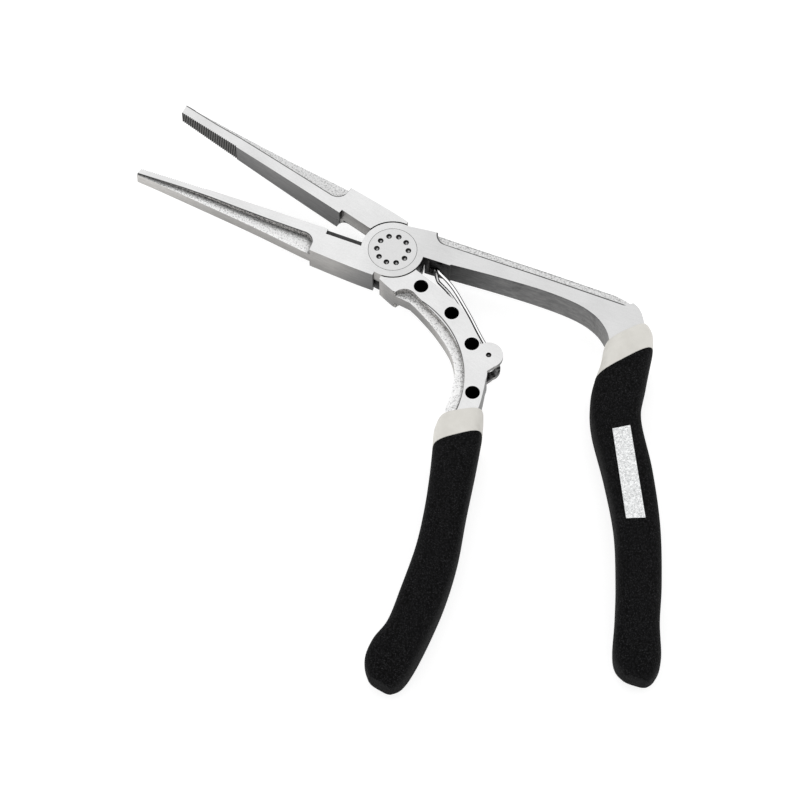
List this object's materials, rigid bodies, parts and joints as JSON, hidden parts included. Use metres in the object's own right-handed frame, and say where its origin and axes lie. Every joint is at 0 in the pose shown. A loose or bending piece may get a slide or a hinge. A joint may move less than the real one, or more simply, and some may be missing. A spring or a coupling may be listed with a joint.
{
  "type": "fishing pliers",
  "caption": "Long-nose fishing pliers with offset pistol grips, a spring-opened lap joint, a line cutter and cushioned handles.",
  "frame": {"origin": "centre of the pivot on the flat rear face of the joint", "axes": "+Z along the pivot axis, towards the front face; the jaws point to -X +Y and the grips hang to -Y"},
  "size_m": [0.1523, 0.1932, 0.0148],
  "materials": {
    "satin_steel": "satin, with as-cast texture in the flutes",
    "turned_steel": "fine turned",
    "bronze": "plain",
    "blade_steel": "dark hardened",
    "spring_wire": "bright drawn wire",
    "grey_collar": "matte",
    "black_grip": "fine grained matte",
    "silver_print": "speckled silver print"
  },
  "bodies": {
    "front": {"front_lever": "satin_steel", "pivot_screw": "turned_steel", "pivot_nut": "turned_steel", "pivot_washer": "bronze", "cutter_blade": "blade_steel", "front_collar": "grey_collar", "front_grip": "black_grip", "grip_patch": "silver_print"},
    "rear": {"rear_lever": "satin_steel", "spring_pin": "blade_steel", "rear_collar": "grey_collar", "rear_grip": "black_grip"},
    "spring": {"return_spring": "spring_wire"}
  },
  "joints": [
    {"name": "jaw_pivot", "type": "hinge", "parent": "front", "child": "rear", "pos_m": [0, 0, 0.0045], "axis": [0, 0, 1], "range_deg": [0, 16.2], "stiffness_Nm_per_rad": 0.35, "springref_deg": -11.46},
    {"name": "spring_swing", "type": "hinge", "parent": "rear", "child": "spring", "pos_m": [0.02783, -0.03582, 0.0045], "axis": [0, 0, 1], "range_deg": [0, 5.6]}
  ],
  "couplings": [
    {"joint": "spring_swing", "follows": "jaw_pivot", "ratio": 0.338}
  ]
}
